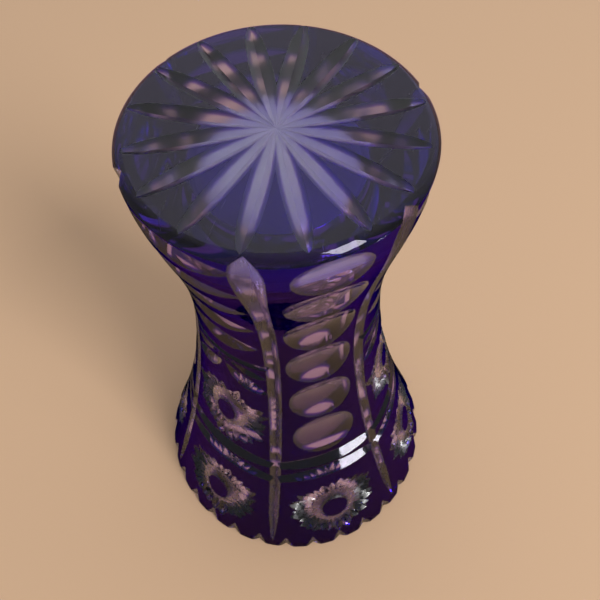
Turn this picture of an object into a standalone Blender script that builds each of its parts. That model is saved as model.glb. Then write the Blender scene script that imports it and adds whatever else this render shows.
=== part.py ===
"""A cased crystal vase, cut to clear and stored upended: mouth on the ground at z = 0, star-cut foot on top.

A colourless crystal body carries a cobalt layer that the cuts divide into separate islands. Every island
is its own object. Metres, +Z up, the vase's axis is Z, and one of the six long mitre cuts faces -Y.
"""

import math

import bmesh
import bpy
from mathutils import Matrix, Vector

# The blank before cutting, in metres
HEIGHT = 0.200
MOUTH_RADIUS = 0.060
WAIST_RADIUS = 0.0307
WAIST_Z = 0.134
FOOT_RADIUS = 0.0391
FOOT_FLAT_RADIUS = 0.0364
FOOT_BEVEL_HEIGHT = 0.0021
MOUTH_FLARE = 1.6
FOOT_FLARE = 1.25
WALL = 0.0060
FLOOR = 0.0180
FLOOR_ROUNDNESS = 2.4
OVERLAY = 0.0010
GAP = 0.0003

# The V wheels: half the angle of their edge, and how far a cutter stands proud of the glass
V_HALF_ANGLE = math.radians(48)
LIFT = 0.0012

# The six long mitres, and how deep they are along their run
MITRE_FOOT_DEPTH = 0.0029
MITRE_WAIST_DEPTH = 0.0024
MITRE_MOUTH_DEPTH = 0.0016
MITRE_RUN_OUT = 0.005
MITRE_OVERSHOOT = 0.0040
FADED = 0.0001

# The star of the foot
RAYS = 16
RAY_TURN = math.radians(-1)
RAY_DEPTH = 0.0023
RAY_LEVEL_RUN = 0.020
RAY_END_SPACE = 0.0006

# The band of two blunt, bowed lines: the height of each line's middle, and how far its ends hang below that
BAND_LOWER_Z = 0.0560
BAND_UPPER_Z = 0.0645
BAND_BOW = 0.0025
BAND_DEPTH = 0.0021
BAND_HALF_ANGLE = math.radians(60)

# The scalloped mouth
SCALLOPS_PER_PANEL = 5
SCALLOP_DEPTH = 0.0014
SCALLOP_HALF_ANGLE = math.radians(65)

# The thumbprints of every other panel
THUMBS = 6
THUMB_DEPTH = 0.0024
THUMB_FOOT_SPACE = 0.0110
THUMB_BAND_SPACE = 0.0178
THUMB_SPREAD = 1.12
THUMB_WHEEL_RADIUS = 0.025
THUMB_WHEEL_CROWN = 0.060

# The ladder of leaf cuts above one cross line, in the panels between
LEAVES = 5
LEAF_DEPTH = 0.0026
LEAF_SIDE_SPACE = 0.0025
LEAF_FOOT_SPACE = 0.0055
LEAF_END_SHARE = 0.03
CROSS_Z = 0.1270
CROSS_DEPTH = 0.0018

# The stars: their points, and the blue that is left between a star and the cuts round its field
STAR_POINTS = 16
STAR_TOOTH = 0.28
STAR_SIDE_SPACE = 0.0020
STAR_END_SPACE = 0.0035
UPPER_STAR_RISE = 0.0070
UPPER_STAR_HALF_HEIGHT = 0.0165
BUTTON_SHARE = 0.34

# Facets: a whole number of them to a panel, so that both layers facet alike
SIDES_PER_PANEL = 6
LEVELS = 9
HOLLOW_LEVELS = 5
WHEEL_MERIDIANS = 12
WHEEL_RINGS = 16
PANELS = 6
PANEL_TURN = 2 * math.pi / PANELS
SIDES = PANELS * SIDES_PER_PANEL
HALF_SIDE = math.pi / SIDES
HALF_FIELD = PANEL_TURN / 2 - math.radians(0.3)
FIRST_MITRE = math.radians(-90)
EDGE_Z = HEIGHT - FOOT_BEVEL_HEIGHT


def outer_radius(z):
    """Radius of the uncut blank at height z."""
    if z <= WAIST_Z:
        return WAIST_RADIUS + (MOUTH_RADIUS - WAIST_RADIUS) * (1 - z / WAIST_Z) ** MOUTH_FLARE
    share = min((z - WAIST_Z) / (EDGE_Z - WAIST_Z), 1) ** FOOT_FLARE
    return WAIST_RADIUS + (FOOT_RADIUS - WAIST_RADIUS) * math.sin(share * math.pi / 2) ** 2


def slope(z, step=1e-4):
    """How much the outer radius grows for each metre of height."""
    low = max(z - step, 0)
    high = min(z + step, EDGE_Z)
    return (outer_radius(high) - outer_radius(low)) / (high - low)


def inset_radius(z, depth):
    """Radius of the surface that lies depth below the blank's, measured square to it."""
    return outer_radius(z) - depth * math.hypot(1, slope(z))


def bevel_radius(z, depth):
    """Radius at height z of the foot's bevel, depth below its face."""
    run = FOOT_RADIUS - FOOT_FLAT_RADIUS
    face = math.hypot(run, FOOT_BEVEL_HEIGHT)
    return FOOT_FLAT_RADIUS + ((HEIGHT - z) * run - depth * face) / FOOT_BEVEL_HEIGHT


def outward(turn, z):
    """Unit normal of the blank at an angle round the axis and a height."""
    return Vector((math.cos(turn), math.sin(turn), -slope(z))).normalized()


def on_blank(turn, z):
    radius = outer_radius(z)
    return Vector((radius * math.cos(turn), radius * math.sin(turn), z))


def middle_of(panel):
    return FIRST_MITRE + (panel + 0.5) * PANEL_TURN


def half_panel(z):
    """Half the width of the glass between two mitres, measured along the surface."""
    mitre_half_width = MITRE_FOOT_DEPTH * math.tan(V_HALF_ANGLE)
    return outer_radius(z) * PANEL_TURN / 2 - mitre_half_width


def levels(start, end, count):
    return [start + (end - start) * i / count for i in range(count + 1)]


def clear_scene():
    for item in list(bpy.data.objects):
        bpy.data.objects.remove(item)


def new_collection(name, helpers=False):
    collection = bpy.data.collections.new(name)
    bpy.context.scene.collection.children.link(collection)
    collection.hide_render = helpers
    return collection


def add_object(name, bm, collection):
    mesh = bpy.data.meshes.new(name)
    bm.to_mesh(mesh)
    bm.free()
    item = bpy.data.objects.new(name, mesh)
    collection.objects.link(item)
    return item


def add_cutter(name, bm, collection):
    bmesh.ops.recalc_face_normals(bm, faces=bm.faces)
    item = add_object(name, bm, collection)
    item.hide_render = True
    item.display_type = "WIRE"
    return item


def glass(name, colour, roughness):
    material = bpy.data.materials.new(name)
    material.use_nodes = True
    shader = material.node_tree.nodes["Principled BSDF"]
    shader.inputs["Base Color"].default_value = (*colour, 1)
    shader.inputs["Metallic"].default_value = 0
    shader.inputs["Roughness"].default_value = roughness
    shader.inputs["IOR"].default_value = 1.54
    shader.inputs["Transmission Weight"].default_value = 0.9
    return material


def turned(name, outline, collection):
    """A turned solid from an outline of (radius, height) points, run down its outer side."""
    bm = bmesh.new()
    points = [bm.verts.new((radius, 0, z)) for radius, z in outline]
    for first, second in zip(points, points[1:]):
        bm.edges.new((first, second))
    if outline[0][0] > 0:
        bm.edges.new((points[-1], points[0]))
    bmesh.ops.rotate(bm, matrix=Matrix.Rotation(HALF_SIDE, 3, "Z"), verts=bm.verts)
    item = add_object(name, bm, collection)
    screw = item.modifiers.new("Turn", "SCREW")
    screw.steps = SIDES
    screw.render_steps = SIDES
    screw.use_merge_vertices = True
    screw.merge_threshold = 0.00001
    return item


def cut(item, tool, operation="DIFFERENCE", solver="EXACT"):
    boolean = item.modifiers.new(tool.name, "BOOLEAN")
    boolean.operation = operation
    boolean.solver = solver
    if isinstance(tool, bpy.types.Collection):
        boolean.operand_type = "COLLECTION"
        boolean.collection = tool
    else:
        boolean.object = tool


def groove(name, points, normals, depths, collection, half_angle=V_HALF_ANGLE):
    """A V cutter lofted along a path on the glass: its edge lies depths below the path."""
    bm = bmesh.new()
    rings = []
    for i, (point, normal, depth) in enumerate(zip(points, normals, depths)):
        ahead = points[min(i + 1, len(points) - 1)] - points[max(i - 1, 0)]
        side = ahead.cross(normal).normalized() * (depth + LIFT) * math.tan(half_angle)
        top = point + normal * LIFT
        rings.append([bm.verts.new(corner) for corner in (point - normal * depth, top + side, top - side)])
    for ring, following in zip(rings, rings[1:]):
        for k in range(3):
            bm.faces.new((ring[k], ring[k - 1], following[k - 1], following[k]))
    bm.faces.new(rings[0])
    bm.faces.new(rings[-1])
    return add_cutter(name, bm, collection)


def mitre(number, collection):
    """One long upright V cut, deepest at the foot's edge and fading out above the mouth."""
    turn = FIRST_MITRE + number * PANEL_TURN
    heights = levels(HEIGHT + MITRE_OVERSHOOT, MITRE_RUN_OUT, LEVELS)
    depths = []
    for z in heights:
        if z > WAIST_Z:
            share = min((z - WAIST_Z) / (HEIGHT - WAIST_Z), 1)
            depths.append(MITRE_WAIST_DEPTH + (MITRE_FOOT_DEPTH - MITRE_WAIST_DEPTH) * share)
        else:
            depths.append(MITRE_MOUTH_DEPTH + (MITRE_WAIST_DEPTH - MITRE_MOUTH_DEPTH) * z / WAIST_Z)
    depths[-1] = FADED
    points = [on_blank(turn, z) for z in heights]
    normals = [outward(turn, min(z, EDGE_Z)) for z in heights]
    groove(f"mitre_wheel_{number + 1}", points, normals, depths, collection)


def ray(number, collection):
    """One ray of the foot's star: a level V cut from the middle that runs out in the bevel."""
    turn = FIRST_MITRE + RAY_TURN + number * 2 * math.pi / RAYS
    along = Vector((math.cos(turn), math.sin(turn), 0))
    run_out = FOOT_RADIUS - RAY_END_SPACE - RAY_LEVEL_RUN
    shares = (0, 0.45, 0.8, 1)
    stations = [0] + [RAY_LEVEL_RUN + run_out * share for share in shares]
    depths = [RAY_DEPTH] + [RAY_DEPTH * (1 - share * share) + FADED for share in shares]
    points = [along * radius + Vector((0, 0, HEIGHT)) for radius in stations]
    groove(f"ray_wheel_{number + 1}", points, [Vector((0, 0, 1))] * len(points), depths, collection)


def level_cut(
    name, middle, half_turn, z, depth, collection, bow=0.0, end_share=1.0, half_angle=V_HALF_ANGLE
):
    """A V cut across a panel whose ends hang bow below its middle and are end_share as deep."""
    points, normals, depths = [], [], []
    for place in levels(-1, 1, SIDES_PER_PANEL):
        turn = middle + half_turn * place
        height = z - bow * place * place
        points.append(on_blank(turn, height))
        normals.append(outward(turn, height))
        depths.append(depth * (1 - (1 - end_share) * place * place))
    return groove(name, points, normals, depths, collection, half_angle)


def along_normal(turn, z, distance):
    """Matrix whose Z points out of the glass and whose Y runs along it, distance above its surface."""
    out = outward(turn, z)
    across = Vector((-math.sin(turn), math.cos(turn), 0))
    axes = Matrix((across, out.cross(across), out)).transposed().to_4x4()
    return Matrix.Translation(on_blank(turn, z) + out * distance) @ axes


def thumb_heights():
    """The middles of the thumbprints from the foot down, a little further apart each time."""
    top = HEIGHT - THUMB_FOOT_SPACE
    bottom = BAND_UPPER_Z + THUMB_BAND_SPACE
    return [top + (bottom - top) * (i / (THUMBS - 1)) ** THUMB_SPREAD for i in range(THUMBS)]


def thumb_wheel(name, turn, z, collection):
    """The crowned wheel that grinds one thumbprint."""
    bm = bmesh.new()
    bmesh.ops.create_uvsphere(
        bm, u_segments=WHEEL_MERIDIANS, v_segments=WHEEL_RINGS, radius=THUMB_WHEEL_RADIUS
    )
    bmesh.ops.scale(bm, vec=(THUMB_WHEEL_CROWN / THUMB_WHEEL_RADIUS, 1, 1), verts=bm.verts)
    place = along_normal(turn, z, THUMB_WHEEL_RADIUS - THUMB_DEPTH)
    bmesh.ops.transform(bm, matrix=place, verts=bm.verts)
    return add_cutter(name, bm, collection)


def star_block(name, turn, z, half_width, half_height, collection, points=STAR_POINTS, tooth=STAR_TOOTH):
    """A prism square to the glass, with an oval outline that tooth makes into a star."""
    depth = 3 * WALL
    bm = bmesh.new()
    bmesh.ops.create_circle(bm, cap_ends=True, segments=2 * points, radius=1)
    for number, vert in enumerate(bm.verts):
        reach = 1 - tooth * (number % 2)
        vert.co = Vector((vert.co.x * half_width * reach, vert.co.y * half_height * reach, -depth))
    made = bmesh.ops.extrude_face_region(bm, geom=bm.faces[:])
    top = [part for part in made["geom"] if isinstance(part, bmesh.types.BMVert)]
    bmesh.ops.translate(bm, vec=(0, 0, depth + 3 * LIFT), verts=top)
    bmesh.ops.transform(bm, matrix=along_normal(turn, z, 0), verts=bm.verts)
    return add_cutter(name, bm, collection)


def field(name, middle, low, high, collection, low_bow=0.0, high_bow=0.0):
    """A block that takes one panel of the layer between two lines, each with its own bow."""
    reach = 4 * OVERLAY
    heights = levels(low, high, LEVELS // 2)
    corners = [(outer_radius(z) + reach, z) for z in heights]
    corners += [(outer_radius(z) - reach, z) for z in reversed(heights)]
    bm = bmesh.new()
    bm.faces.new([bm.verts.new((radius, 0, z)) for radius, z in corners])
    bmesh.ops.rotate(bm, matrix=Matrix.Rotation(middle - HALF_FIELD, 3, "Z"), verts=bm.verts)
    bmesh.ops.spin(
        bm, geom=bm.faces[:] + bm.edges[:] + bm.verts[:], axis=(0, 0, 1), cent=(0, 0, 0),
        angle=2 * HALF_FIELD, steps=SIDES_PER_PANEL,
    )
    for vert in bm.verts:
        turn = math.remainder(math.atan2(vert.co.y, vert.co.x) - middle, 2 * math.pi)
        share = (vert.co.z - low) / (high - low)
        vert.co.z -= (low_bow * (1 - share) + high_bow * share) * (turn / HALF_FIELD) ** 2
    return add_cutter(name, bm, collection)


def scallop_wheel(number, collection):
    """One notch of the scalloped mouth, straight through the wall between two lobes."""
    turn = FIRST_MITRE + (number + 0.5) * PANEL_TURN / SCALLOPS_PER_PANEL
    along = Vector((math.cos(turn), math.sin(turn), 0))
    points = [along * (MOUTH_RADIUS - 2 * WALL), along * (MOUTH_RADIUS + WALL)]
    down = [Vector((0, 0, -1))] * 2
    name = f"scallop_wheel_{number + 1}"
    return groove(name, points, down, [SCALLOP_DEPTH] * 2, collection, half_angle=SCALLOP_HALF_ANGLE)


def body_outline():
    """The crystal body under the overlay: down its outer side, round the mouth and up the hollow."""
    under = OVERLAY + GAP
    top = HEIGHT - under
    shoulder = EDGE_Z - under / 2
    outline = [(0, top), (bevel_radius(top, under), top)]
    outline += [(inset_radius(z, under), z) for z in levels(shoulder, 0, LEVELS)]
    hollow_top = HEIGHT - FLOOR
    hollow_radius = inset_radius(WAIST_Z, WALL)
    bend = hollow_top - hollow_radius
    outline += [(inset_radius(z, WALL), z) for z in levels(0, bend, HOLLOW_LEVELS)]
    for share in (0.35, 0.6, 0.8, 0.93):
        z = bend + hollow_radius * share
        narrowing = (1 - share**FLOOR_ROUNDNESS) ** (1 / FLOOR_ROUNDNESS)
        outline.append((inset_radius(z, WALL) * narrowing, z))
    outline.append((0, hollow_top))
    return outline


def layer_outline():
    """The coloured layer of the wall and of the foot's bevel, before it is cut into islands."""
    inner_top = HEIGHT - OVERLAY
    heights = levels(EDGE_Z, GAP, LEVELS)
    outline = [(FOOT_FLAT_RADIUS, HEIGHT)]
    outline += [(outer_radius(z), z) for z in heights]
    outline += [(inset_radius(z, OVERLAY), z) for z in reversed(heights[1:])]
    outline += [(inset_radius(EDGE_Z, OVERLAY), EDGE_Z - OVERLAY / 2)]
    outline += [(bevel_radius(inner_top, OVERLAY), inner_top), (bevel_radius(inner_top, OVERLAY), HEIGHT)]
    return outline


def island(name, block, tools, material, collection, outline):
    """One island of the layer.

    On so thin a shell the EXACT solver doubles edges where bowed cuts cross facets.
    """
    item = turned(name, outline, collection)
    if block:
        cut(item, block, "INTERSECT", solver="MANIFOLD")
    for tool in tools:
        cut(item, tool, solver="MANIFOLD")
    item.data.materials.append(material)
    return item


def build():
    clear_scene()
    vase = new_collection("cut_crystal_vase")
    crystal = glass("crystal", (0.93, 0.94, 0.95), 0.02)
    cobalt = glass("cobalt_overlay", (0.07, 0.02, 0.42), 0.03)

    mitres = new_collection("mitre_wheels", helpers=True)
    rays = new_collection("ray_wheels", helpers=True)
    bands = new_collection("band_wheels", helpers=True)
    scallops = new_collection("scallop_wheels", helpers=True)
    fields = new_collection("fields", helpers=True)
    for number in range(PANELS):
        mitre(number, mitres)
        for line, z in (("lower", BAND_LOWER_Z), ("upper", BAND_UPPER_Z)):
            name = f"{line}_band_wheel_{number + 1}"
            level_cut(
                name, middle_of(number), HALF_FIELD, z, BAND_DEPTH, bands,
                bow=BAND_BOW, half_angle=BAND_HALF_ANGLE,
            )
    for number in range(RAYS):
        ray(number, rays)
    for number in range(PANELS * SCALLOPS_PER_PANEL):
        scallop_wheel(number, scallops)

    layer = layer_outline()
    body = turned("clear_body", body_outline(), vase)
    body.data.materials.append(crystal)
    for panel in range(PANELS):
        middle = middle_of(panel)
        pair = panel // 2 + 1
        if panel % 2 == 0:
            prints = new_collection(f"thumb_wheels_{pair}", helpers=True)
            for number, z in enumerate(thumb_heights()):
                thumb_wheel(f"thumb_wheel_{pair}_{number + 1}", middle, z, prints)
            block = field(
                f"thumb_field_{pair}", middle, BAND_UPPER_Z, HEIGHT + LIFT, fields, low_bow=BAND_BOW
            )
            tools = (mitres, bands, rays, prints)
            island(f"thumbprint_panel_{pair}", block, tools, cobalt, vase, layer)
            cut(body, prints)
        else:
            ladder = new_collection(f"leaf_wheels_{pair}", helpers=True)
            pitch = (HEIGHT - LEAF_FOOT_SPACE - CROSS_Z) / LEAVES
            for number in range(LEAVES):
                z = CROSS_Z + pitch * (number + 1)
                half_turn = (half_panel(z) - LEAF_SIDE_SPACE) / outer_radius(z)
                name = f"leaf_{pair}_{number + 1}"
                level_cut(name, middle, half_turn, z, LEAF_DEPTH, ladder, end_share=LEAF_END_SHARE)
            cross = new_collection(f"cross_wheels_{pair}", helpers=True)
            level_cut(f"cross_wheel_{pair}", middle, HALF_FIELD, CROSS_Z, CROSS_DEPTH, cross)
            block = field(f"ladder_field_{pair}", middle, CROSS_Z, HEIGHT + LIFT, fields)
            tools = (mitres, cross, rays, ladder)
            island(f"ladder_panel_{pair}", block, tools, cobalt, vase, layer)
            cut(body, ladder)
            cut(body, cross)

            z = BAND_UPPER_Z + UPPER_STAR_RISE + UPPER_STAR_HALF_HEIGHT
            half_width = half_panel(z) - STAR_SIDE_SPACE
            half_height = UPPER_STAR_HALF_HEIGHT
            star = star_block(f"upper_star_{pair}", middle, z, half_width, half_height, fields)
            block = field(
                f"upper_field_{pair}", middle, BAND_UPPER_Z, CROSS_Z, fields, low_bow=BAND_BOW
            )
            tools = (mitres, bands, cross, star)
            island(f"upper_star_panel_{pair}", block, tools, cobalt, vase, layer)
            block = star_block(
                f"upper_button_block_{pair}", middle, z, half_width * BUTTON_SHARE,
                half_height * BUTTON_SHARE, fields, points=8, tooth=0,
            )
            island(f"upper_star_button_{pair}", block, (), cobalt, vase, layer)

        block = field(
            f"strip_field_{panel + 1}", middle, BAND_LOWER_Z, BAND_UPPER_Z, fields,
            low_bow=BAND_BOW, high_bow=BAND_BOW,
        )
        island(f"band_strip_{panel + 1}", block, (mitres, bands), cobalt, vase, layer)

        z = (BAND_LOWER_Z - BAND_DEPTH * math.tan(BAND_HALF_ANGLE)) / 2
        half_height = z - STAR_END_SPACE
        half_width = half_panel(z) - STAR_SIDE_SPACE
        star = star_block(f"lower_star_{panel + 1}", middle, z, half_width, half_height, fields)
        block = field(f"lower_field_{panel + 1}", middle, -LIFT, BAND_LOWER_Z, fields, high_bow=BAND_BOW)
        tools = (mitres, bands, star, scallops)
        island(f"lower_star_panel_{panel + 1}", block, tools, cobalt, vase, layer)
        block = star_block(
            f"lower_button_block_{panel + 1}", middle, z, half_width * BUTTON_SHARE,
            half_height * BUTTON_SHARE, fields, points=8, tooth=0,
        )
        island(f"lower_star_button_{panel + 1}", block, (), cobalt, vase, layer)

    for wheels in (mitres, bands, rays, scallops):
        cut(body, wheels)
    disc_radius = bevel_radius(HEIGHT - OVERLAY, OVERLAY) - GAP
    disc = [(0, HEIGHT), (disc_radius, HEIGHT), (disc_radius, HEIGHT - OVERLAY), (0, HEIGHT - OVERLAY)]
    island("foot_star_disc", None, (rays, mitres), cobalt, vase, disc)


build()
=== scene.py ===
# %% [markdown]
# # A cased crystal vase, cut to clear
#
# The vase was blown as a thick gather of colourless crystal and cased in cobalt glass, so a skin of deep
# violet blue, less than a millimetre thick, covers it all over outside. A cutter then ground a pattern
# through the skin with stone wheels. Each cut is a clear window with a blue rim, and what the wheels left
# is the blue part of the pattern. The vase stands upended: its scalloped mouth is on the floor and its
# star-cut foot is on top.
#
# The scene repeats that work. A turned blank is made first, then every wheel as a cutter, and Booleans
# grind the wheels out of the crystal and out of the blue skin. Painting the pattern as a texture would be
# quicker, but cut glass looks as it does because each facet bends light, so the facets have to be real.

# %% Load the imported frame
import math
import random
from collections import namedtuple

import bmesh
import bpy
from mathutils import Matrix, Vector


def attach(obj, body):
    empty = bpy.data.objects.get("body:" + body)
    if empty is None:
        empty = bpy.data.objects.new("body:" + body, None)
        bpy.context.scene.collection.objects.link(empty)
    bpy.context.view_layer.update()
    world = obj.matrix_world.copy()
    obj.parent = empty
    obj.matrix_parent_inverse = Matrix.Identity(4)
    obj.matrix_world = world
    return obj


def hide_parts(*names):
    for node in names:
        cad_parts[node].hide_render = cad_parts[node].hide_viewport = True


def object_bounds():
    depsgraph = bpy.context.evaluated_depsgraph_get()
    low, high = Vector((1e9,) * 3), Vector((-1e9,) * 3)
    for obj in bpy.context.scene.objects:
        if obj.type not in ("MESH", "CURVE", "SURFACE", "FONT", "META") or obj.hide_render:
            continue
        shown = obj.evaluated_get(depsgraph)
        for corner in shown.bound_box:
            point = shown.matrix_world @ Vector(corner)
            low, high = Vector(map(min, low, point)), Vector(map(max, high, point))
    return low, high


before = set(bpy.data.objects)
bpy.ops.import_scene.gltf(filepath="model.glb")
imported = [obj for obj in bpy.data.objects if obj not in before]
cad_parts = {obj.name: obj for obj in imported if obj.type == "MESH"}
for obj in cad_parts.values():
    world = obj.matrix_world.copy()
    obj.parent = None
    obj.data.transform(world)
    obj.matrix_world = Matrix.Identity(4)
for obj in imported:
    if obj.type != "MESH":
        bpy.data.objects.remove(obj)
cad_low, cad_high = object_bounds()
print("frame", len(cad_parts), "nodes, height", round(cad_high.z, 4))

# %% [markdown]
# ## The blank
#
# A blown and turned vase is round, so one profile says all of its shape: a flared mouth, a narrow waist
# and a foot with a ground edge. The profile could be drawn as a curve. Here the radius is a formula of
# the height, because every cut has to follow the same surface, and a formula gives the slope at any point
# too.

# %% The outer surface, in metres
HEIGHT = cad_high.z
MOUTH_RADIUS = 0.060
WAIST_RADIUS = 0.0307
WAIST_Z = 0.134
FOOT_RADIUS = 0.0391
FOOT_FLAT_RADIUS = 0.0364
EDGE_Z = HEIGHT - 0.0021
MOUTH_FLARE = 1.6
FOOT_FLARE = 1.25


def outer_radius(z):
    """Radius of the uncut blank at height z."""
    if z <= WAIST_Z:
        return WAIST_RADIUS + (MOUTH_RADIUS - WAIST_RADIUS) * (1 - max(z, 0) / WAIST_Z) ** MOUTH_FLARE
    share = min((z - WAIST_Z) / (EDGE_Z - WAIST_Z), 1) ** FOOT_FLARE
    return WAIST_RADIUS + (FOOT_RADIUS - WAIST_RADIUS) * math.sin(share * math.pi / 2) ** 2


def slope(z, step=1e-4):
    """How fast the radius grows with the height."""
    low, high = max(z - step, 0), min(z + step, EDGE_Z)
    return (outer_radius(high) - outer_radius(low)) / (high - low)


def inset_radius(z, depth):
    """Radius of a surface that lies a depth under the blank's own, or over it if that is negative."""
    return outer_radius(z) - depth * math.hypot(1, slope(z))


def outward(turn, z):
    """Unit vector out of the glass; turn is the angle round the axis."""
    return Vector((math.cos(turn), math.sin(turn), -slope(min(z, EDGE_Z)))).normalized()


def on_blank(turn, z):
    """The point of the blank's surface at an angle and a height."""
    radius = outer_radius(z)
    return Vector((radius * math.cos(turn), radius * math.sin(turn), z))


def levels(start, end, count):
    """Even steps from start to end, both included."""
    return [start + (end - start) * i / count for i in range(count + 1)]


print("waist", 2 * WAIST_RADIUS, "mouth", 2 * MOUTH_RADIUS, "foot", 2 * FOOT_RADIUS)

# %% [markdown]
# ## Turning a profile
#
# `bmesh.ops.spin` sweeps a profile round the axis, as a lathe shows it. A full turn merges its last step
# into its first, and the points on the axis, which the spin doubles, are merged afterwards. For a slice
# of the blank the same operator spins a closed face through part of a turn, and its two ends stay as flat
# caps.

# %% Turned solids
FULL_TURN = 2 * math.pi


def finish_mesh(name, bm):
    """Closes a mesh, turns its faces outwards and returns its object."""
    bmesh.ops.remove_doubles(bm, verts=bm.verts, dist=1e-7)
    bmesh.ops.recalc_face_normals(bm, faces=bm.faces)
    mesh = bpy.data.meshes.new(name)
    bm.to_mesh(mesh)
    bm.free()
    item = bpy.data.objects.new(name, mesh)
    bpy.context.scene.collection.objects.link(item)
    return item


def full_turned(name, outline, steps=240):
    """A solid from an outline of (radius, z) that starts and ends on the axis."""
    bm = bmesh.new()
    points = [bm.verts.new((radius, 0, z)) for radius, z in outline]
    edges = [bm.edges.new(pair) for pair in zip(points, points[1:])]
    bmesh.ops.spin(
        bm, geom=points + edges, cent=(0, 0, 0), axis=(0, 0, 1), angle=FULL_TURN, steps=steps, use_merge=True
    )
    return finish_mesh(name, bm)


def slice_turned(name, outline, start, through, steps, shape):
    """A slice of a ring from a closed outline of (radius, z); shape then moves each of its points."""
    bm = bmesh.new()
    face = bm.faces.new([bm.verts.new((radius, 0, z)) for radius, z in outline])
    bmesh.ops.rotate(bm, cent=(0, 0, 0), matrix=Matrix.Rotation(start, 3, "Z"), verts=bm.verts)
    bmesh.ops.spin(
        bm, geom=[face], cent=(0, 0, 0), axis=(0, 0, 1), angle=through, steps=steps, use_merge=False
    )
    for vert in bm.verts:
        shape(vert)
    return finish_mesh(name, bm)


# %% [markdown]
# ## The crystal's profile
#
# The crystal is one thick wall round a hollow, with a heavy base under the foot's star. Its profile runs
# from the middle of the foot over the eased edge, down the wall, round the ground lip and up the hollow,
# whose far end is nearly flat, as a blown vase's is. The hollow could be a second solid that a Boolean
# takes out, but a single outline gives a closed wall at once. The foot's edge is a bevel that wear has
# rounded, so it bulges a little from a straight line, and a lamp shows in it as one soft streak.

# %% The profile of the crystal
WALL = 0.0060
LIP_WALL = 0.0042
LIP_TAPER = 0.030
LIP_OUTER_EASE = 0.0006
LIP_INNER_EASE = 0.0008
FLOOR = 0.0180
FLOOR_ROUNDNESS = 7.0
FLOOR_STEPS = 22
EDGE_BULGE = 0.35


def edge_arc(grown, steps=6):
    """The eased edge of the foot, from its flat down to the wall, grown outward by a distance."""
    places = []
    for share in levels(0, 1, steps):
        turn = share * math.pi / 2
        out = share + EDGE_BULGE * (math.sin(turn) - share)
        up = 1 - share + EDGE_BULGE * (math.cos(turn) - 1 + share)
        radius = FOOT_FLAT_RADIUS + (FOOT_RADIUS - FOOT_FLAT_RADIUS + grown) * out
        places.append((radius, EDGE_Z + (HEIGHT - EDGE_Z + grown) * up))
    return places


def crystal_outline(rings=130, hollow_rings=44):
    """The crystal from the middle of the foot round to the middle of the hollow's end."""
    outline = [(radius, HEIGHT) for radius in levels(0, FOOT_FLAT_RADIUS, 6)[:-1]] + edge_arc(0)[:-1]
    outline += [(outer_radius(z), z) for z in levels(EDGE_Z, LIP_OUTER_EASE, rings)]
    outline += [(outer_radius(0) - LIP_OUTER_EASE, 0), (outer_radius(0) - LIP_WALL + LIP_INNER_EASE, 0)]
    hollow_top = HEIGHT - FLOOR
    hollow_radius = inset_radius(WAIST_Z, WALL)
    bend = hollow_top - hollow_radius
    for z in levels(LIP_INNER_EASE, bend, hollow_rings):
        outline.append((inset_radius(z, LIP_WALL + (WALL - LIP_WALL) * min(z / LIP_TAPER, 1)), z))
    for i in range(1, FLOOR_STEPS + 1):
        share = math.sin(i / FLOOR_STEPS * math.pi / 2)
        narrowing = (1 - share**FLOOR_ROUNDNESS) ** (1 / FLOOR_ROUNDNESS)
        outline.append((hollow_radius * narrowing, bend + hollow_radius * share))
    outline[-1] = (0, hollow_top)
    return outline


print("profile of", len(crystal_outline()), "points, base", FLOOR, "thick")

# %% [markdown]
# ## The wheels
#
# A cutter's V wheel leaves a groove with two flat sides that meet in a sharp line. Where the wheel is
# pressed deeper the groove is wider, so one value, the wheel's angle, ties width to depth. The tool is a
# long three-sided bar: a cone primitive with three sides, subdivided along its length and then laid on
# its path. A lofted list of faces would do the same with more code.
#
# The wheels are made once for the crystal and again, a hair larger, for the blue skin. The skin's cut
# walls then lie just behind the crystal's, and no two surfaces coincide. A tray holds the wheels of one
# size. A Boolean gives the wall of a cut the material slot of its cutter's faces, so each wheel also
# carries the finish that it leaves.

# %% Trays of V wheels
PANELS = 6
PANEL_TURN = FULL_TURN / PANELS
FIRST_MITRE = math.radians(-90)
LIFT = 0.0015  # how far the shoulders of a bar stand clear of the glass
GROWTH = 0.00003  # how much larger the skin's wheels are than the crystal's
FINISHES = ("wall", "hollow", "cut", "silt", "foot", "ray", "mitre", "petal")
Tray = namedtuple("Tray", "wheels growth")


def new_tray(name, growth=0.0):
    """An empty tray; its collection isn't linked to the scene, so its wheels are never drawn."""
    return Tray(bpy.data.collections.new(name), growth)


def add_wheel(name, bm, tray, finish="cut"):
    """Lays a closed cutter in a tray."""
    item = finish_mesh(name, bm)
    for face in item.data.polygons:
        face.material_index = FINISHES.index(finish)
    bpy.context.scene.collection.objects.unlink(item)
    tray.wheels.objects.link(item)


def v_bar(name, stations, tray, finish):
    """A closed three-sided bar through stations of (edge, left shoulder, right shoulder)."""
    count = len(stations)
    bm = bmesh.new()
    bmesh.ops.create_cone(bm, cap_ends=True, segments=3, radius1=1, radius2=1, depth=count - 1)
    if count > 2:
        long_edges = [edge for edge in bm.edges if abs(edge.verts[0].co.z - edge.verts[1].co.z) > 0.5]
        bmesh.ops.subdivide_edges(bm, edges=long_edges, cuts=count - 2, use_grid_fill=True)
    # A point's height on the cone picks its station, and its angle picks one of the three corners there.
    for vert in bm.verts:
        station = stations[round(vert.co.z + (count - 1) / 2)]
        vert.co = station[round(math.atan2(vert.co.y, vert.co.x) / (FULL_TURN / 3)) % 3]
    add_wheel(name, bm, tray, finish)


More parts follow.
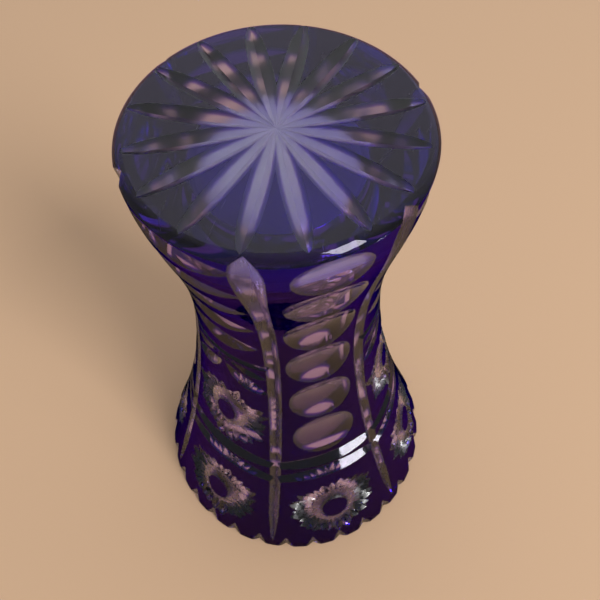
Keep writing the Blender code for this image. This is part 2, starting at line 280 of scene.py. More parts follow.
def v_cut(name, path, tray, half_angle, finish="cut"):
    """A V cut along a path of (point on the glass, outward normal, depth)."""
    stations = []
    for i, (point, normal, depth) in enumerate(path):
        ahead = path[min(i + 1, len(path) - 1)][0] - path[max(i - 1, 0)][0]
        deep = depth + tray.growth / math.sin(half_angle)
        side = ahead.cross(normal).normalized() * (deep + LIFT) * math.tan(half_angle)
        top = point + normal * LIFT
        stations.append((point - normal * deep, top + side, top - side))
    v_bar(name, stations, tray, finish)


# %% Paths on the wall
FEATHER = 0.00004  # the depth at which a cut ends, so that no wheel only touches the glass


def middle_of(panel):
    """The angle of a panel's middle line."""
    return FIRST_MITRE + (panel + 0.5) * PANEL_TURN


def wall_path(middle, places):
    """A path on the wall from places of (arc across the panel, height, depth)."""
    path = []
    for across, z, depth in places:
        turn = middle + across / outer_radius(z)
        path.append((on_blank(turn, z), outward(turn, z), depth))
    return path


print(PANELS, "panels,", round(2 * MOUTH_RADIUS * math.sin(PANEL_TURN / 2), 4), "wide at the mouth")

# %% [markdown]
# ## Mitres
#
# Six long V cuts divide the wall into panels. At the foot the wheel is sunk deepest and leaves a pointed
# leaf that notches the edge. Towards the mouth it runs out. A straight bar would miss the curved wall, so
# the path follows the blank. The cutter's hand guided the wheel, so each mitre leans a little to the
# thumbprints at the waist.

# %% Six mitres
MITRE_HALF_ANGLE = math.radians(54)
MITRE_LEAN = math.radians(2.5)
MITRE_LEAN_CURVE = 1.5  # above 1, the lean is greatest past the middle of the height
MITRE_DEPTH = 0.0015
MITRE_DEEPENING = 0.0004
MITRE_END_Z = 0.004
MITRE_OVERSHOOT = 0.003
MITRE_RUN_IN = 0.010
MITRE_RUN_OUT = 0.020
FOOT_LEAF_DEPTH = 0.0016
FOOT_LEAF_LENGTH = 0.022


def faded(distance, length, least=0.02, curve=0.6):
    """Grows to 1 over a length, fast at first, and never falls to nothing."""
    return min(max(distance / length, least), 1) ** curve


def mitre(number, tray):
    path = []
    start = HEIGHT + MITRE_OVERSHOOT
    for z in levels(start, MITRE_END_Z, 84):
        share = min(z / HEIGHT, 1)
        lean = (1 if number % 2 == 0 else -1) * MITRE_LEAN * math.sin(math.pi * share**MITRE_LEAN_CURVE)
        turn = FIRST_MITRE + number * PANEL_TURN + lean
        ends = faded(z - MITRE_END_Z, MITRE_RUN_OUT), faded(start - z, MITRE_RUN_IN)
        foot_leaf = FOOT_LEAF_DEPTH * math.exp(-(((z - HEIGHT) / FOOT_LEAF_LENGTH) ** 2))
        depth = (MITRE_DEPTH + MITRE_DEEPENING * share + foot_leaf) * ends[0] * ends[1]
        path.append((on_blank(turn, z), outward(turn, z), depth))
    v_cut(f"mitre_{number}", path, tray, MITRE_HALF_ANGLE, "mitre")


print("mitres", round(2 * MITRE_DEPTH * math.tan(MITRE_HALF_ANGLE), 4), "wide")

# %% [markdown]
# ## The band
#
# Two blunt V cuts ring the vase above the lower flowers. Each bows up in the middle of its panel and
# grows thin towards the mitres. One round groove could be turned on a lathe, but the bow and the thinning
# need a path for each panel. The wheel is blunter than the mitre wheel, so the lines are wide for their
# depth.

# %% Two bowed band lines in a panel
BAND_HALF_ANGLE = math.radians(59)
BAND_DEPTH = 0.0023
BAND_THINNING = 0.45
BAND_LOWER_Z = 0.0560
BAND_UPPER_Z = 0.0645
BAND_LOWER_BOW = 0.0040
BAND_UPPER_BOW = 0.0022


def band(panel, tray):
    for z, bow in ((BAND_LOWER_Z, BAND_LOWER_BOW), (BAND_UPPER_Z, BAND_UPPER_BOW)):
        places = []
        for place in levels(-1, 1, 24):
            height = z - bow * place * place
            across = place * outer_radius(height) * PANEL_TURN / 2
            places.append((across, height, BAND_DEPTH * (1 - BAND_THINNING * place * place)))
        path = wall_path(middle_of(panel), places)
        v_cut(f"band_{panel}_{round(z * 1e4)}", path, tray, BAND_HALF_ANGLE)


print("band lines", round(2 * BAND_DEPTH * math.tan(BAND_HALF_ANGLE), 4), "wide in the middle")

# %% [markdown]
# ## Thumbprints
#
# A crowned wheel, whose rim is rounded, grinds a shallow round dish. A part of an ellipsoid stands for
# the wheel, as a ball would leave the dish too tall for its width. The dish cuts through the skin only in
# its middle, so each clear window has a dark tapered rim of blue glass. The prints grow a little wider
# towards the mouth, where the panel has room for them.

# %% Six thumbprints down a panel
THUMBS = 6
THUMB_TOP = HEIGHT - 0.0100
THUMB_BOTTOM = 0.0823
THUMB_SPREAD = 1.12
THUMB_DEPTH = 0.0022
TOP_THUMB_DEPTH = 0.0017
THUMB_CROWN = (0.062, 0.025, 0.025)
THUMB_WIDENING = 0.12


def along_normal(turn, z, distance):
    """A place on the glass: Z points out of it, X runs round it and Y along it."""
    out = outward(turn, z)
    across = Vector((-math.sin(turn), math.cos(turn), 0))
    axes = Matrix((across, out.cross(across), out)).transposed().to_4x4()
    return Matrix.Translation(on_blank(turn, z) + out * distance) @ axes


def dish(name, turn, z, crown, depth, tray, segments=64):
    """The dish of a crowned wheel with the given half axes, ground depth deep."""
    bm = bmesh.new()
    bmesh.ops.create_uvsphere(bm, u_segments=segments, v_segments=segments * 3 // 2, radius=1)
    bmesh.ops.scale(bm, vec=crown, verts=bm.verts)
    bmesh.ops.transform(bm, matrix=along_normal(turn, z, crown[2] - depth - tray.growth), verts=bm.verts)
    add_wheel(name, bm, tray)


def thumbprints(panel, tray):
    for i in range(THUMBS):
        z = THUMB_TOP + (THUMB_BOTTOM - THUMB_TOP) * (i / (THUMBS - 1)) ** THUMB_SPREAD
        scale = 1 + THUMB_WIDENING * max(i - THUMBS // 2, 0)
        crown = tuple(axis * scale for axis in THUMB_CROWN)
        depth = THUMB_DEPTH if i else TOP_THUMB_DEPTH
        dish(f"thumb_{panel}_{i}", middle_of(panel), z, crown, depth, tray)


print(THUMBS, "thumbprints from", round(THUMB_TOP, 4), "down to", THUMB_BOTTOM)

# %% [markdown]
# ## The ladder and the fan
#
# The panels between hold five leaf cuts, deep in the middle and pointed at both ends, above one fine
# cross line. Under the line a row of four tiny prints sits over a fan, two pairs of curved leaves that
# spread to the mitres. Each leaf is a V cut whose depth rises and falls along its path, which is how the
# wheel makes it as well.

# %% Ladder, cross line and fan in a panel
LADDER_HEIGHTS = (0.1940, 0.1815, 0.1685, 0.1545, 0.1410)
LADDER_HALF_ANGLE = math.radians(63)
LADDER_DEPTH = 0.0024
LADDER_SAG = -0.0012
LADDER_GAP = 0.0022
CROSS_Z = 0.1280
CROSS_DEPTH = 0.0013
CROSS_HALF_ANGLE = math.radians(48)
FAN_HALF_ANGLE = math.radians(58)
FAN_GAP = 0.0010
FanLeaf = namedtuple("FanLeaf", "title start start_z end_z depth sag")
FAN = (
    FanLeaf("low", 0.0008, 0.1215, 0.1115, 0.0022, -0.0014),
    FanLeaf("high", 0.0040, 0.1250, 0.1210, 0.0012, -0.0006),
)
DOT_ROW = (-0.0042, 0.0042, 3)
DOT_DROP = 0.0036
DOT_CROWN = (0.0013, 0.0013, 0.0018)
DOT_DEPTH = 0.0006


def leaf(name, middle, ends, depth, sag, tray, half_angle):
    """A cut that is deep in its middle and pointed at both ends, from one (across, z) to another."""
    (x1, z1), (x2, z2) = ends
    places = []
    for share in levels(0, 1, 24):
        bulge = 4 * share * (1 - share)
        z = z1 + (z2 - z1) * share + sag * bulge
        places.append((x1 + (x2 - x1) * share, z, depth * bulge + FEATHER))
    v_cut(name, wall_path(middle, places), tray, half_angle)


def half_room(z, gap=0.0):
    """Half the width of a panel at height z, less a gap to the mitre."""
    return outer_radius(z) * PANEL_TURN / 2 - gap


def ladder(panel, tray):
    middle = middle_of(panel)
    for i, z in enumerate(LADDER_HEIGHTS):
        reach = half_room(z, LADDER_GAP)
        ends = ((-reach, z), (reach, z))
        leaf(f"leaf_{panel}_{i}", middle, ends, LADDER_DEPTH, LADDER_SAG, tray, LADDER_HALF_ANGLE)
    reach = half_room(CROSS_Z)
    places = [(across, CROSS_Z, CROSS_DEPTH) for across in levels(-reach, reach, 12)]
    v_cut(f"cross_{panel}", wall_path(middle, places), tray, CROSS_HALF_ANGLE)
    for side in (-1, 1):
        for cut in FAN:
            ends = ((side * cut.start, cut.start_z), (side * half_room(cut.end_z, FAN_GAP), cut.end_z))
            leaf(f"fan_{cut.title}_{panel}_{side}", middle, ends, cut.depth, cut.sag, tray, FAN_HALF_ANGLE)
    for i, across in enumerate(levels(*DOT_ROW)):
        turn = middle + across / outer_radius(CROSS_Z)
        dish(f"dot_{panel}_{i}", turn, CROSS_Z - DOT_DROP, DOT_CROWN, DOT_DEPTH, tray, 16)


print("the cross line is", round(2 * half_room(CROSS_Z), 4), "long")

# %% [markdown]
# ## The flowers
#
# A flower is a wreath of V cuts that all point to its middle. Near the middle they overlap and clear the
# blue away in a ring, and outside it pointed blue teeth are left between them. A dished ring frees the
# blue button. The ring is a spun circle. It is stretched to an oval and laid on the curved wall point by
# point, as a flat one would leave the glass at its sides. The petals are cut by eye, so each differs a
# little from the next in place, length and depth. The random draws start from a fixed word, so every run
# gives the same flower.

# %% A ring and a wreath of petals
PETAL_HALF_ANGLE = math.radians(50)
PETAL_WANDER = 0.25
PETAL_LENGTHS = (0.78, 1.0)
PETAL_DEPTHS = (0.75, 1.15)
PETAL_FADE = 3.5
PETAL_BELLY = 0.15
RING_DEPTH = 0.00125
RING_HEIGHT = 0.35
Flower = namedtuple("Flower", "name z reach button ring_half petals petal_depth")
LOWER_FLOWER = Flower("lower_flower", 0.0265, (0.0212, 0.0220), (0.0056, 0.0068), 0.0046, 30, 0.0023)
UPPER_FLOWER = Flower("upper_flower", 0.0880, (0.0190, 0.0206), (0.0042, 0.0058), 0.0048, 28, 0.0024)


def middle_line(kind):
    """The half width and half height of the middle line of a flower's ring."""
    return (kind.button[0] + kind.ring_half, kind.button[1] + kind.ring_half)


def ring_dish(name, kind, middle, tray):
    """An oval groove of round section on the wall, round the flower's button."""
    line = middle_line(kind)
    tube = (kind.ring_half**2 + RING_DEPTH**2) / (2 * RING_DEPTH) + tray.growth
    bm = bmesh.new()
    bmesh.ops.create_circle(bm, segments=40, radius=tube)
    bmesh.ops.rotate(bm, cent=(0, 0, 0), matrix=Matrix.Rotation(math.pi / 2, 3, "X"), verts=bm.verts)
    # The tube is cut low and spun at radius 1, so a point's radius says how far off the middle line it lies.
    for vert in bm.verts:
        vert.co.z = min(vert.co.z, RING_HEIGHT * tube) + tube - (RING_DEPTH + tray.growth)
        vert.co.x += 1
    circle = bm.verts[:] + bm.edges[:]
    bmesh.ops.spin(
        bm, geom=circle, cent=(0, 0, 0), axis=(0, 0, 1), angle=FULL_TURN, steps=72, use_merge=True
    )
    for vert in bm.verts:
        angle = math.atan2(vert.co.y, vert.co.x)
        off = math.hypot(vert.co.x, vert.co.y) - 1
        across = (line[0] + off) * math.cos(angle)
        height = kind.z + (line[1] + off) * math.sin(angle) / math.hypot(1, slope(kind.z))
        turn = middle + across / outer_radius(height)
        vert.co = on_blank(turn, height) + outward(turn, height) * vert.co.z
    add_wheel(name, bm, tray, "petal")


def flower(kind, panel, tray):
    middle = middle_of(panel)
    ring_dish(f"{kind.name}_{panel}_ring", kind, middle, tray)
    line = middle_line(kind)
    stretch = math.hypot(1, slope(kind.z))
    hand = random.Random(f"flower {kind.petals}")
    for k in range(kind.petals):
        angle = (k + 0.5 + hand.uniform(-PETAL_WANDER, PETAL_WANDER)) * FULL_TURN / kind.petals
        length = hand.uniform(*PETAL_LENGTHS)
        deepest = kind.petal_depth * hand.uniform(*PETAL_DEPTHS)
        places = []
        for share in levels(0, 1, 12):
            x = (line[0] + (kind.reach[0] * length - line[0]) * share) * math.cos(angle)
            y = (line[1] + (kind.reach[1] * length - line[1]) * share) * math.sin(angle)
            belly = 1 - PETAL_BELLY + PETAL_BELLY * math.sin(math.pi * share)
            depth = deepest * (1 - share**PETAL_FADE) * belly + FEATHER
            places.append((x, kind.z + y / stretch, depth))
        path = wall_path(middle, places)
        v_cut(f"{kind.name}_{panel}_petal_{k}", path, tray, PETAL_HALF_ANGLE, "petal")


for kind in (LOWER_FLOWER, UPPER_FLOWER):
    print(kind.name, "at", kind.z, "with", kind.petals, "petals")

# %% [markdown]
# ## The mouth and the foot
#
# The rim is ground into thirty lobes. Each notch between two lobes takes a steep V and a very flat one,
# which together come near a round lobe with far fewer faces than a round cutter has. A short V carries
# the notch up the outer wall. The foot carries a star of sixteen rays. They are deepest a little way out,
# where the wheel is pressed hardest, and run out at the edge.

# %% Scallops of the rim
SCALLOPS = 30
SCALLOP_CUTS = ((math.radians(60), 0.0015), (math.radians(80), 0.0008))
SCALLOP_RISE = 0.0075
SCALLOP_START = -0.0016
SCALLOP_DEPTH = 0.0014
SCALLOP_HALF_ANGLE = math.radians(70)


def scallop(number, tray):
    turn = FIRST_MITRE + (number + 0.5) * FULL_TURN / SCALLOPS
    along = Vector((math.cos(turn), math.sin(turn), 0))
    down = Vector((0, 0, -1))
    for half_angle, depth in SCALLOP_CUTS:
        path = [(along * radius, down, depth) for radius in (MOUTH_RADIUS - 2 * WALL, MOUTH_RADIUS + WALL)]
        v_cut(f"scallop_{number}_{round(depth * 1e4)}", path, tray, half_angle)
    path = []
    for z in levels(SCALLOP_START, SCALLOP_RISE, 8):
        depth = SCALLOP_DEPTH * (1 - max(z, 0) / SCALLOP_RISE) + FEATHER
        path.append((on_blank(turn, z), outward(turn, max(z, 0.0002)), depth))
    v_cut(f"scallop_{number}_side", path, tray, SCALLOP_HALF_ANGLE)


print(SCALLOPS, "lobes, each", round(FULL_TURN * MOUTH_RADIUS / SCALLOPS, 4), "wide")

# %% Rays of the foot's star
RAYS = 16
RAY_TURN = math.radians(-1)
RAY_HALF_ANGLE = math.radians(62)
RAY_DEPTH = 0.00084
RAY_SWELL = 0.00060
RAY_LEVEL = 0.0220
RAY_FADE = 4.5
RAY_END = FOOT_RADIUS - 0.0008


def ray(number, tray):
    turn = FIRST_MITRE + RAY_TURN + number * FULL_TURN / RAYS
    along = Vector((math.cos(turn), math.sin(turn), 0))
    up = Vector((0, 0, 1))
    path = []
    for radius in levels(-0.0005, RAY_END, 28):
        share = min(max((radius - RAY_LEVEL) / (RAY_END - RAY_LEVEL), 0), 1)
        swell = RAY_SWELL * math.sin(math.pi * radius / FOOT_RADIUS)
        depth = (RAY_DEPTH + swell) * (1 - share**RAY_FADE) + FEATHER
        path.append((along * radius + up * HEIGHT, up, depth))
    v_cut(f"ray_{number}", path, tray, RAY_HALF_ANGLE, "ray")


print(RAYS, "rays,", round(2 * (RAY_DEPTH + RAY_SWELL) * math.tan(RAY_HALF_ANGLE), 4), "wide at the most")

# %% [markdown]
# ## Grinding
#
# A Boolean takes all the wheels of a tray out of a piece. The MANIFOLD solver needs closed meshes, which
# these all are, and does in seconds what the exact one does in minutes. The result is stored as the
# piece's own mesh and shaded smooth, with sharp edges where two facets meet, because a cutter's edges are
# crisp.

# %% Grind wheels out of a piece
SHARP = math.radians(24)


def grind(item, *trays):
    for tray in trays:
        boolean = item.modifiers.new(tray.wheels.name, "BOOLEAN")
        boolean.operation = "DIFFERENCE"
        boolean.solver = "MANIFOLD"
        boolean.operand_type = "COLLECTION"
        boolean.collection = tray.wheels
    graph = bpy.context.evaluated_depsgraph_get()
    mesh = bpy.data.meshes.new_from_object(item.evaluated_get(graph))
    item.modifiers.clear()
    item.data = mesh
    mesh.shade_smooth()
    mesh.set_sharp_from_angle(angle=SHARP)
    return item


# %% Every wheel of the crystal, at its true size
all_wheels = new_tray("wheels")
for number in range(PANELS):
    mitre(number, all_wheels)
    band(number, all_wheels)
    flower(LOWER_FLOWER, number, all_wheels)
for number in range(0, PANELS, 2):
    thumbprints(number, all_wheels)
for number in range(1, PANELS, 2):
    ladder(number, all_wheels)
    flower(UPPER_FLOWER, number, all_wheels)
for number in range(RAYS):
    ray(number, all_wheels)
for number in range(SCALLOPS):
    scallop(number, all_wheels)

# %% [markdown]
# ## The crystal
#
# Before it is ground, each face of the blank gets the finish that it has on an old vase: a polished wall,
# a foot scratched by the shelf, a hazy hollow, and a silted floor in it where flower water has dried. The
# faces could be picked by hand, but a rule on their places still holds when a size is changed. The cuts
# bring their own finishes.

# %% Turn the crystal and grind it
SILT_DEPTH = 0.0030


def blank_finish(place):
    """The finish of the uncut blank at a place on it."""
    if place.z > EDGE_Z:
        return "foot"
    radius = math.hypot(place.x, place.y)
    if place.z >= HEIGHT - FLOOR / 2 or radius >= outer_radius(place.z) - LIP_WALL / 2:
        return "wall"
    return "silt" if place.z > HEIGHT - FLOOR - SILT_DEPTH else "hollow"


crystal = full_turned("crystal", crystal_outline())
for face in crystal.data.polygons:
    face.material_index = FINISHES.index(blank_finish(face.center))
for finish in FINISHES:
    crystal.data.materials.append(None)
grind(crystal, all_wheels)
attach(crystal, "root")
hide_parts("clear_body")
print("crystal", len(crystal.data.polygons), "faces")

# %% [markdown]
# ## The blue skin
#
# The skin is fused to the crystal, so on the real vase the two have no gap and no mirror between them.
# Here each island of blue is a thin closed solid that lies in the crystal's outer surface and stands a
# few hundredths of a millimetre proud of it. It bends no light itself and only absorbs, so light meets
# one glass surface, as it should. A skin laid on top of the crystal would mirror the lamps twice.
#
# One panel of each kind is made and turned twice by a third of a turn, because the pattern repeats every
# two panels.

# %% Slices of the skin
OVERLAY = 0.0007
PROUD = 0.000042
FOOT_PROUD = 0.000020
SEAM = math.radians(0.02)
FOOT_SEAM = 0.00003
LIP_SEAM = 0.0001
ROW_HEIGHT = 0.0015


def skin_slice(name, panel, low, high, low_bow=0.0, high_bow=0.0):
    """The uncut skin of one panel between two lines that may bow."""
    heights = levels(high, low, max(round((high - low) / ROW_HEIGHT), 4))
    # Radius 2 stands for the outer face and radius 1 for the inner, until shape puts both in their places.
    outline = [(2, z) for z in heights] + [(1, z) for z in reversed(heights)]
    middle = middle_of(panel)

    def shape(vert):
        turn = math.atan2(vert.co.y, vert.co.x)
        place = math.remainder(turn - middle, FULL_TURN) / (PANEL_TURN / 2)
        share = (vert.co.z - low) / (high - low)
        z = vert.co.z - (low_bow * (1 - share) + high_bow * share) * place**2
        outer = math.hypot(vert.co.x, vert.co.y) > 1.5
        radius = inset_radius(z, -PROUD if outer else OVERLAY)
        vert.co = (radius * math.cos(turn), radius * math.sin(turn), z)

    return slice_turned(name, outline, middle - PANEL_TURN / 2 + SEAM, PANEL_TURN - 2 * SEAM, 40, shape)


def three_turned(item, stem, node_stem, first=1, step=1):
    """Names a piece and adds two copies, each a third of a turn on. Returns pairs of piece and node."""
    pieces = []
    for third in range(3):
        piece = item
        if third:
            piece = bpy.data.objects.new(stem, item.data.copy())
            piece.data.transform(Matrix.Rotation(third * FULL_TURN / 3, 4, "Z"))
            bpy.context.scene.collection.objects.link(piece)
        number = first + third * step
        piece.name = f"{stem}_{number}"
        pieces.append((piece, f"{node_stem}_{number}"))
    return pieces


# %% [markdown]
# ## Buttons
#
# Once the ring is ground, a button hangs on nothing: in the mesh it is a loose part of the flower's
# piece. It is an island of its own on the vase, so it becomes a piece of its own here. Cutting it out of
# a second slice would do as well, but the loose part is already there.

# %% Part a button from its flower
def loose_parts(bm):
    """The sets of vertices that hang together."""
    unseen = set(bm.verts)
    while unseen:
        part, border = set(), [unseen.pop()]
        while border:
            vert = border.pop()
            part.add(vert)
            neighbours = unseen.intersection(edge.other_vert(vert) for edge in vert.link_edges)
            unseen -= neighbours
            border += neighbours
        yield part


def take_button(item, name, kind, panel):
    """Moves the loose part inside a flower's ring into a piece of its own."""
    centre = on_blank(middle_of(panel), kind.z)
    reach = min(middle_line(kind))
    button = bpy.data.objects.new(name, item.data.copy())
    bpy.context.scene.collection.objects.link(button)
    for piece in (button, item):
        bm = bmesh.new()
        bm.from_mesh(piece.data)
        removed = []
        for part in loose_parts(bm):
            inside = max((vert.co - centre).length for vert in part) < reach
            if inside != (piece == button):
                removed += part
        bmesh.ops.delete(bm, geom=removed, context="VERTS")
        bm.to_mesh(piece.data)
        bm.free()
    return button


# %% The skin of a panel, from the mouth to the foot
def near_wheels(panel):
    """The wheels that every slice of a panel may meet: its two mitres and its band."""
    tray = new_tray(f"near_wheels_{panel}", GROWTH)
    mitre(panel, tray)
    mitre(panel + 1, tray)
    band(panel, tray)
    return tray


def lower_skins(panel, near):
    """The strip in the band, the skin round the lower flower, and its button."""
    tray = new_tray(f"low_wheels_{panel}", GROWTH)
    flower(LOWER_FLOWER, panel, tray)
    lobes = SCALLOPS // PANELS
    for number in range(panel * lobes - 1, (panel + 1) * lobes + 1):
        scallop(number, tray)
    strip = skin_slice("strip", panel, BAND_LOWER_Z, BAND_UPPER_Z, BAND_LOWER_BOW, BAND_UPPER_BOW)
    made = three_turned(grind(strip, near), "band_skin", "band_strip", panel + 1, 2)
    low = skin_slice("low", panel, LIP_OUTER_EASE + LIP_SEAM, BAND_LOWER_Z, 0.0, BAND_LOWER_BOW)
    grind(low, near, tray)
    button = take_button(low, "low_button", LOWER_FLOWER, panel)
    made += three_turned(low, "lower_flower_skin", "lower_star_panel", panel + 1, 2)
    made += three_turned(button, "lower_button_skin", "lower_star_button", panel + 1, 2)
    return made


def thumbprint_skins(panel, near):
    """The skin between the thumbprints, from the band to the foot."""
    tray = new_tray(f"high_wheels_{panel}", GROWTH)
    thumbprints(panel, tray)
    high = skin_slice("high", panel, BAND_UPPER_Z, EDGE_Z - FOOT_SEAM, BAND_UPPER_BOW)
    return three_turned(grind(high, near, tray), "thumbprint_skin", "thumbprint_panel")


def ladder_skins(panel, near):
    """The skin between the ladder's leaves, the skin round the upper flower, and its button."""
    tray = new_tray(f"high_wheels_{panel}", GROWTH)
    ladder(panel, tray)
    flower(UPPER_FLOWER, panel, tray)
    high = skin_slice("high", panel, CROSS_Z, EDGE_Z - FOOT_SEAM)
    made = three_turned(grind(high, near, tray), "ladder_skin", "ladder_panel")
    upper = skin_slice("upper", panel, BAND_UPPER_Z, CROSS_Z, BAND_UPPER_BOW)
    grind(upper, near, tray)
    button = take_button(upper, "upper_button", UPPER_FLOWER, panel)
    made += three_turned(upper, "upper_flower_skin", "upper_star_panel")
    made += three_turned(button, "upper_button_skin", "upper_star_button")
    return made


skins = []
for panel, upper_skins in enumerate((thumbprint_skins, ladder_skins)):
    near = near_wheels(panel)
    skins += lower_skins(panel, near) + upper_skins(panel, near)
print(len(skins), "pieces of skin on the wall")

# %% The skin of the foot
foot_wheels = new_tray("foot_wheels", GROWTH)
for number in range(RAYS):
    ray(number, foot_wheels)
for number in range(PANELS):
    mitre(number, foot_wheels)
foot_outline = [(0, HEIGHT + FOOT_PROUD), *edge_arc(FOOT_PROUD)]
foot_outline += [*reversed(edge_arc(-OVERLAY)), (0, HEIGHT - OVERLAY)]
foot_skin = grind(full_turned("foot_star_skin", foot_outline), foot_wheels)
skins.append((foot_skin, "foot_star_disc"))
for piece, node in skins:
    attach(piece, "root")
    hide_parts(node)
print(len(skins), "pieces of skin,", sum(len(piece.data.polygons) for piece, node in skins), "faces")

# %% [markdown]
# ## Glass
#
# Lead crystal has an index of 1.54. One smooth glass for the whole vase would look new and dead, so each
# finish has its own roughness, from noise on Object coordinates. Outside, the vase is polished. The cuts
# keep a trace of the wheel, drawn out along it, and the petals are left satin between polished spots. The
# rays of the foot are duller. The hollow has the haze of a vase that has held water, and its floor
# scatters what passes.
#
# The blue skin lights the crystal from all sides, more than the few bounces of a render can show. So the
# walls of the cuts and the hollow are given a violet colour, which is painted light. The tint of the
# polished wall paints what it mirrors dark violet, a painted reflection, and the cuts' tint paints theirs a
# little violet.

# %% Clear glass
CLEAR = (0.985, 0.985, 0.99)


def glass(name, roughness, colour=CLEAR, passing=1.0, tint=(1, 1, 1)):
    """Lead glass of one roughness; tint colours what it mirrors. Returns material, node tree and shader."""
    material = bpy.data.materials.new(name)
    material.use_nodes = True
    tree = material.node_tree
    shader = tree.nodes["Principled BSDF"]
    shader.inputs["Base Color"].default_value = (*colour, 1)
    shader.inputs["IOR"].default_value = 1.54
    shader.inputs["Transmission Weight"].default_value = passing
    shader.inputs["Specular Tint"].default_value = (*tint, 1)
    shader.inputs["Roughness"].default_value = roughness
    return material, tree, shader


# %% Nodes for grain
def math_node(tree, operation, first, second=0.0):
    """A Math node on two values, each a socket or a number. Returns its output."""
    node = tree.nodes.new("ShaderNodeMath")
    node.operation = operation
    for socket, value in zip(node.inputs, (first, second)):
        if isinstance(value, bpy.types.NodeSocket):
            tree.links.new(value, socket)
        else:
            socket.default_value = value
    return node.outputs["Value"]


def grain(tree, scale, stretch=(1, 1, 1), detail=3.0, turn=0.0):
    """Noise on Object coordinates; stretch below 1 draws it out along that axis."""
    place = tree.nodes.new("ShaderNodeTexCoord")
    mapping = tree.nodes.new("ShaderNodeMapping")
    mapping.inputs["Scale"].default_value = stretch
    mapping.inputs["Rotation"].default_value = (0, 0, turn)
    noise = tree.nodes.new("ShaderNodeTexNoise")
    noise.inputs["Scale"].default_value = scale
    noise.inputs["Detail"].default_value = detail
    tree.links.new(place.outputs["Object"], mapping.inputs["Vector"])
    tree.links.new(mapping.outputs["Vector"], noise.inputs["Vector"])
    return noise.outputs["Fac"]


def spread_out(tree, value, low, high, start=0.3, end=0.7):
    """Maps a value between start and end to low and high."""
    mapped = tree.nodes.new("ShaderNodeMapRange")
    mapped.inputs["From Min"].default_value = start
    mapped.inputs["From Max"].default_value = end
    mapped.inputs["To Min"].default_value = low
    mapped.inputs["To Max"].default_value = high
    tree.links.new(value, mapped.inputs["Value"])
    return mapped.outputs["Result"]


def bump(tree, shader, height, depth):
    """Relief of the given depth in metres."""
    relief = tree.nodes.new("ShaderNodeBump")
    relief.inputs["Distance"].default_value = depth
    tree.links.new(height, relief.inputs["Height"])
    tree.links.new(relief.outputs["Normal"], shader.inputs["Normal"])


# %% Finishes of the crystal
def uneven_glass(name, rough, scale, stretch=(1, 1, 1), relief=0.0, **looks):
    """Glass whose roughness wanders between two values, with relief from the same grain."""
    material, tree, shader = glass(name, rough[0], **looks)
    pattern = grain(tree, scale, stretch)
    tree.links.new(spread_out(tree, pattern, *rough), shader.inputs["Roughness"])
    if relief:
        bump(tree, shader, pattern, relief)
    return material


def scratched_glass(name):
    """Polished glass with the fine scratches of a vase that has been pushed about."""
    material, tree, shader = glass(name, 0.0)
    lines = None
    # Three sets of scratches, each with its own direction and closeness, broken up by patches.
    for turn, scale in ((0.4, 60.0), (1.5, 45.0), (2.3, 75.0)):
        drawn_out = grain(tree, scale, (1, 0.15, 1), 0.0, turn)
        off = math_node(tree, "ABSOLUTE", math_node(tree, "SUBTRACT", drawn_out, 0.5))
        line = spread_out(tree, off, 1, 0, 0.0, 0.0035)
        patch = spread_out(tree, grain(tree, 160.0 + 40 * turn), 0, 1, 0.56, 0.62)
        broken = math_node(tree, "MULTIPLY", line, patch)
        lines = broken if lines is None else math_node(tree, "MAXIMUM", lines, broken)
    tree.links.new(spread_out(tree, lines, 0.0, 0.45, 0, 1), shader.inputs["Roughness"])
    return material


finished = {
    # painted reflection: the wall's tint paints what it mirrors dark violet
    "wall": glass("worn_wall", 0.0, tint=(0.14, 0.09, 0.34))[0],
    # painted light: the violet colours of the hollow, cuts, rays, mitres and petals stand in for light from
    # the blue skin; the cuts' tint also paints their reflections a little violet
    "hollow": uneven_glass("hollow_wall", (0.04, 0.12), 120.0, colour=(0.90, 0.80, 0.94)),
    "cut": uneven_glass(
        "polished_cuts", (0.03, 0.12), 900.0, (1, 1, 0.08), 0.00001,
        colour=(0.44, 0.32, 0.70), tint=(0.90, 0.86, 1.0),
    ),
    "silt": uneven_glass(
        "silted_floor", (0.42, 0.58), 300.0, relief=0.00002, colour=(0.97, 0.92, 1.0), passing=0.30
    ),
    "foot": scratched_glass("polished_foot"),
    "ray": uneven_glass("ray_walls", (0.28, 0.34), 200.0, colour=(0.80, 0.84, 1.0)),
    "mitre": uneven_glass(
        "mitre_walls", (0.16, 0.30), 900.0, (1, 1, 0.06), 0.00001, colour=(0.50, 0.38, 0.85)
    ),
    "petal": uneven_glass("petal_cuts", (0.05, 0.46), 450.0, relief=0.00003, colour=(0.62, 0.50, 0.82)),
}
for slot, finish in enumerate(FINISHES):
    crystal.data.materials[slot] = finished[finish]
print(len(crystal.data.materials), "finishes on the crystal")

# %% [markdown]
# ## Cobalt
#
# Cobalt glass is blue all through, so it is a volume that absorbs green most and blue least, and looks
# darker where light crosses it aslant. A coloured surface would be as dark at every angle. The colour is
# worked out from what one thickness of the skin lets through. The foot's skin lets more through, as the
# grinding of the foot has thinned it.

# %% Cobalt glass
SKIN_PASSES = (0.014, 0.0010, 0.30)
FOOT_PASSES = (0.050, 0.0180, 0.34)
DENSITY = 14000.0


def cobalt_glass(name, passes):
    """Glass that bends nothing; passes is what the skin lets through of red, green and blue."""
    material = bpy.data.materials.new(name)
    material.use_nodes = True
    tree = material.node_tree
    shader = tree.nodes["Principled BSDF"]
    shader.inputs["Base Color"].default_value = (1, 1, 1, 1)
    shader.inputs["IOR"].default_value = 1.0
    shader.inputs["Roughness"].default_value = 0.0
    shader.inputs["Transmission Weight"].default_value = 1.0
    absorb = tree.nodes.new("ShaderNodeVolumeAbsorption")
    absorb.inputs["Density"].default_value = DENSITY
    colour = [1 + math.log(share) / (OVERLAY * DENSITY) for share in passes]
    absorb.inputs["Color"].default_value = (*colour, 1)
    tree.links.new(absorb.outputs["Volume"], tree.nodes["Material Output"].inputs["Volume"])
    return material


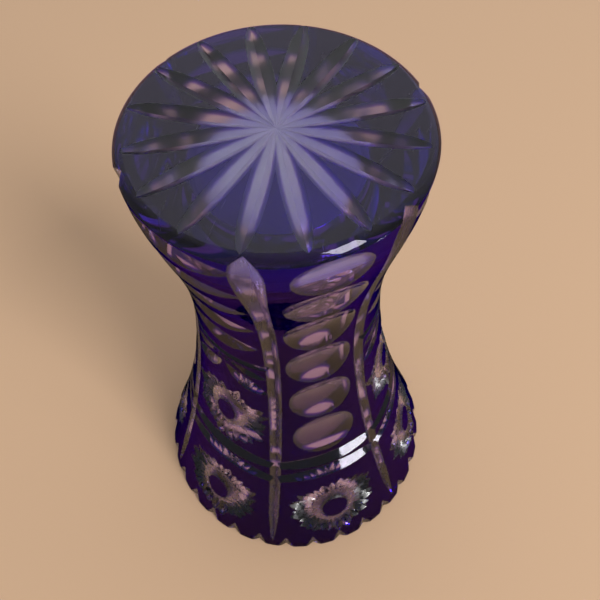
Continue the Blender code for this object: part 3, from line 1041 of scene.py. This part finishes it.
cobalt = cobalt_glass("cobalt_skin", SKIN_PASSES)
foot_cobalt = cobalt_glass("cobalt_foot", FOOT_PASSES)
for piece, node in skins:
    piece.data.materials.clear()
    piece.data.materials.append(foot_cobalt if piece == foot_skin else cobalt)
print("the wall's skin passes", SKIN_PASSES, "and the foot's", FOOT_PASSES)

# %% [markdown]
# ## Studio
#
# The vase stands on a plain pale floor. The world is an even pale room that is darker on the viewer's
# side. One large soft lamp stands for a window, and a low one makes the streak of light on the band.
# Lamps right above the foot would only mirror in its flats.

# %% Floor
bm = bmesh.new()
bmesh.ops.create_grid(bm, x_segments=1, y_segments=1, size=3)
floor = finish_mesh("floor", bm)
paint = bpy.data.materials.new("floor_paint")
paint.use_nodes = True
shader = paint.node_tree.nodes["Principled BSDF"]
shader.inputs["Base Color"].default_value = (0.54, 0.35, 0.215, 1)
shader.inputs["Roughness"].default_value = 0.85
floor.data.materials.append(paint)
print("floor", floor.dimensions.x, "wide")

# %% Room
world = bpy.data.worlds.new("studio")
bpy.context.scene.world = world
world.use_nodes = True
tree = world.node_tree
background = tree.nodes["Background"]
background.inputs["Color"].default_value = (0.97, 0.98, 1.0, 1)
place = tree.nodes.new("ShaderNodeTexCoord")
parts = tree.nodes.new("ShaderNodeSeparateXYZ")
tree.links.new(place.outputs["Generated"], parts.inputs["Vector"])
away_and_up = math_node(tree, "ADD", parts.outputs["Y"], parts.outputs["Z"])
tree.links.new(spread_out(tree, away_and_up, 0.30, 1.05, 0.3, 1.3), background.inputs["Strength"])
print("room light from 0.30 in front to 1.05 behind and above")


# %% Lamps
def window_lamp(name, place, target, width, height, power):
    lamp = bpy.data.lights.new(name, "AREA")
    lamp.shape = "RECTANGLE"
    lamp.size = width
    lamp.size_y = height
    lamp.energy = power
    item = bpy.data.objects.new(name, lamp)
    item.location = place
    item.rotation_euler = (Vector(target) - Vector(place)).to_track_quat("-Z", "Y").to_euler()
    bpy.context.scene.collection.objects.link(item)
    print(name, power, "W")


window_lamp("window", (1.43, -0.93, 1.77), (0, 0, 0.1), 0.7, 1.0, 38)
window_lamp("low_window", (1.76, -0.95, 0.46), (0, 0, 0.06), 0.9, 0.30, 15)

# %% [markdown]
# ## Camera
#
# The camera looks down on the foot from close by, so the vase tapers away below the foot. It is rolled a
# little, as if held by hand. A longer lens from further off would show the same parts, but with a smaller
# foot.

# %% Camera
CAMERA_PLACE = Vector((0.02704, -0.11136, 0.3136))
CAMERA_TARGET = Vector((0.0044, -0.0001, 0.12))
CAMERA_ROLL = math.radians(-1.95)
camera_data = bpy.data.cameras.new("camera")
camera_data.lens = 39.6
camera_data.sensor_width = 36
camera = bpy.data.objects.new("camera", camera_data)
aim = (CAMERA_TARGET - CAMERA_PLACE).to_track_quat("-Z", "Y").to_matrix().to_4x4()
camera.matrix_world = Matrix.Translation(CAMERA_PLACE) @ aim @ Matrix.Rotation(CAMERA_ROLL, 4, "Z")
bpy.context.scene.collection.objects.link(camera)
bpy.context.scene.camera = camera
bpy.context.scene.view_settings.view_transform = "Standard"
print("camera", round((CAMERA_TARGET - CAMERA_PLACE).length, 3), "from its target")

# %% Update the scene
bpy.context.view_layer.update()
